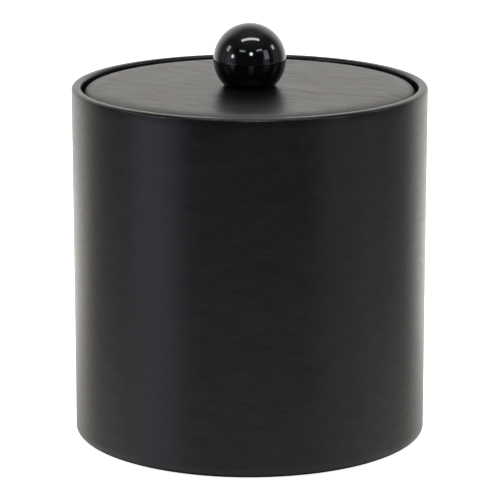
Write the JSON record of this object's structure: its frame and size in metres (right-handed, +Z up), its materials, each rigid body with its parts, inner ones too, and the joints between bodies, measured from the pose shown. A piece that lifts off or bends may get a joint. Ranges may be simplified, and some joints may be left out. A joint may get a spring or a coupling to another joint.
{
  "type": "ice bucket",
  "caption": "Round insulated ice bucket covered in smooth black leatherette, with an inset lift-off lid, a gloss ball knob and a moulded inner liner.",
  "frame": {"origin": "on the bucket's axis, in the plane that the feet rest on", "axes": "+Z up along the axis of the bucket and lid; the butt seam of the wall's cover is at +Y, the back; +X to the right of a viewer at the front"},
  "size_m": [0.1905, 0.1904, 0.2233],
  "materials": {
    "leatherette": "satin",
    "knob_gloss": "gloss",
    "liner_plastic": "satin",
    "white_foam": "matte",
    "soft_foam": "matte",
    "fibreboard": "matte",
    "board": "matte",
    "base_vinyl": "matte",
    "foot_rubber": "matte",
    "brass": "satin",
    "zinc_steel": "satin"
  },
  "bodies": {
    "bucket": {"base_feet": "foot_rubber", "base_cover": "base_vinyl", "base_board": "board", "wall_core": "fibreboard", "wall_wrap": "leatherette", "insulation_base": "white_foam", "insulation_sleeve": "white_foam", "ledge_ring": "fibreboard", "flange_gasket": "soft_foam", "inner_liner": "liner_plastic"},
    "lid": {"lid_cover": "leatherette", "lid_padding": "soft_foam", "lid_board": "board", "lid_insulation": "white_foam", "lid_pan": "liner_plastic", "knob_ball": "knob_gloss", "knob_insert": "brass", "knob_screw": "zinc_steel", "knob_washer": "zinc_steel", "knob_lock_washer": "zinc_steel"}
  },
  "joints": [
    {"name": "lid_lift", "type": "slide", "parent": "bucket", "child": "lid", "axis": [0, 0, 1], "range_m": [0, 0.15]}
  ]
}
